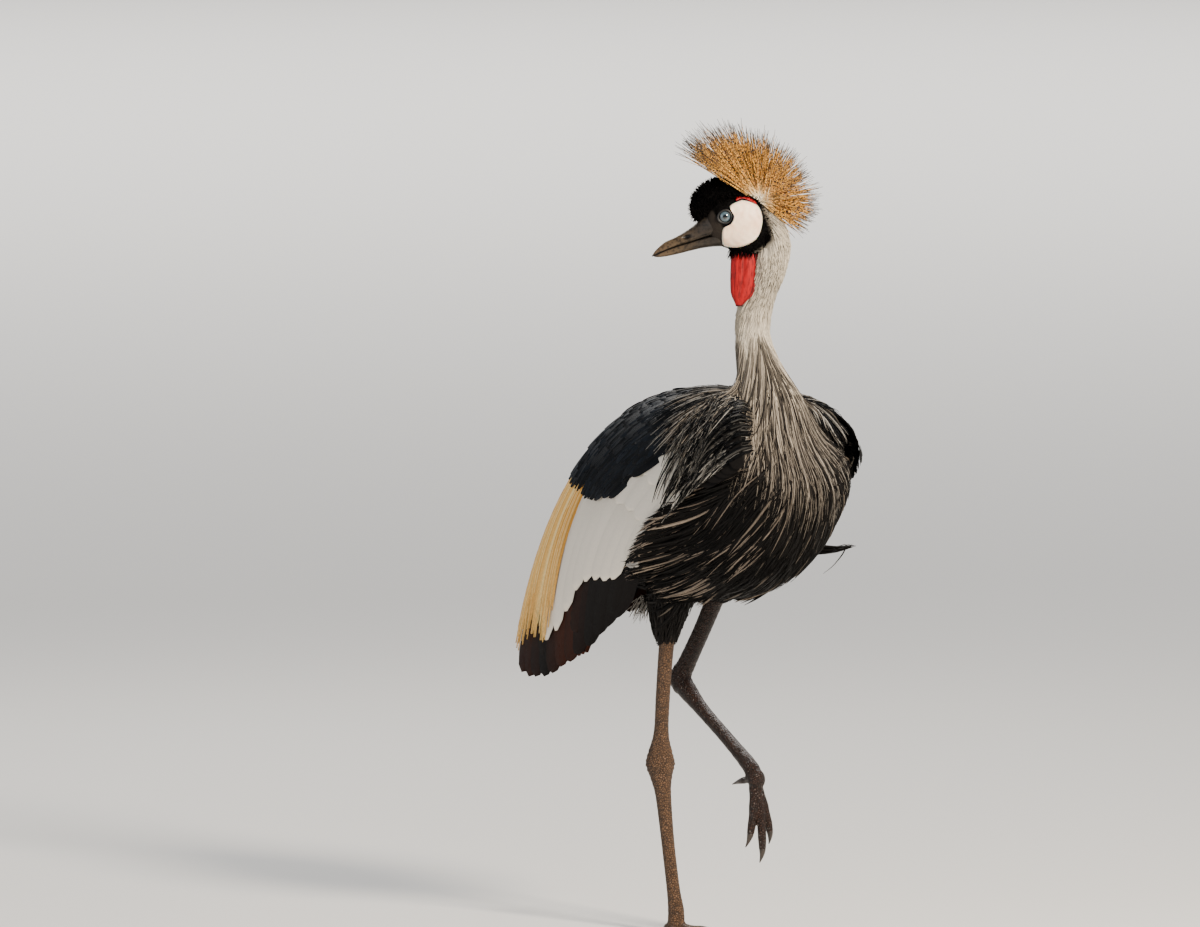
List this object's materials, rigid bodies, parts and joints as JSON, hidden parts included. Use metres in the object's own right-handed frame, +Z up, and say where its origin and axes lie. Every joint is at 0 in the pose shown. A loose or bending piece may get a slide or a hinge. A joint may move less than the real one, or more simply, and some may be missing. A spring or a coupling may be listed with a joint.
{
  "type": "grey crowned crane",
  "caption": "Life-size still grey crowned crane in mid step: stands on its right leg, left leg lifted, long neck up, head turned back, golden fan crest, wings folded over a drooping tail",
  "frame": {"origin": "on the floor, below the middle of the whole bird's box", "axes": "+Z up, +X the way the body faces, +Y the bird's left side"},
  "size_m": [0.5766, 0.2332, 0.9985],
  "materials": {
    "dark_feathers": "soft dark grey body feathers with pale edges",
    "grey_feathers": "fine pale grey neck feathers, matt",
    "black_feathers": "short black velvety feathers, matt",
    "wing_feathers": "slate and white coverts, gold plumes and chestnut flight feathers, satin",
    "tail_feathers": "chestnut black flight and tail feathers, satin",
    "gold_feathers": "stiff golden bristle feathers, satin",
    "cheek_skin": "bare white cheek skin, red along its top, smooth",
    "red_skin": "bare red throat skin in soft folds",
    "eye": "pale blue-grey iris, black pupil, wet gloss",
    "bill_horn": "dark grey horn, paler at the tip, satin",
    "leg_skin": "rough scaled brown-grey leg skin",
    "claw_horn": "dark claw horn, satin"
  },
  "bodies": {
    "root": {"torso": "dark_feathers", "neck_lower": "grey_feathers", "neck_upper": "grey_feathers", "head": "black_feathers", "cap": "black_feathers", "cheek_left": "cheek_skin", "cheek_right": "cheek_skin", "eye_left": "eye", "eye_right": "eye", "bill_upper": "bill_horn", "bill_lower": "bill_horn", "crest": "gold_feathers", "throat_pouch": "red_skin", "wing_left": "wing_feathers", "wing_right": "wing_feathers", "tail": "tail_feathers", "thigh_left": "dark_feathers", "thigh_right": "dark_feathers", "shin_left": "leg_skin", "shin_right": "leg_skin", "tarsus_left": "leg_skin", "tarsus_right": "leg_skin", "foot_left": "leg_skin", "foot_right": "leg_skin", "claw_left_inner": "claw_horn", "claw_left_middle": "claw_horn", "claw_left_outer": "claw_horn", "claw_left_hind": "claw_horn", "claw_right_inner": "claw_horn", "claw_right_middle": "claw_horn", "claw_right_outer": "claw_horn", "claw_right_hind": "claw_horn"}
  },
  "joints": []
}
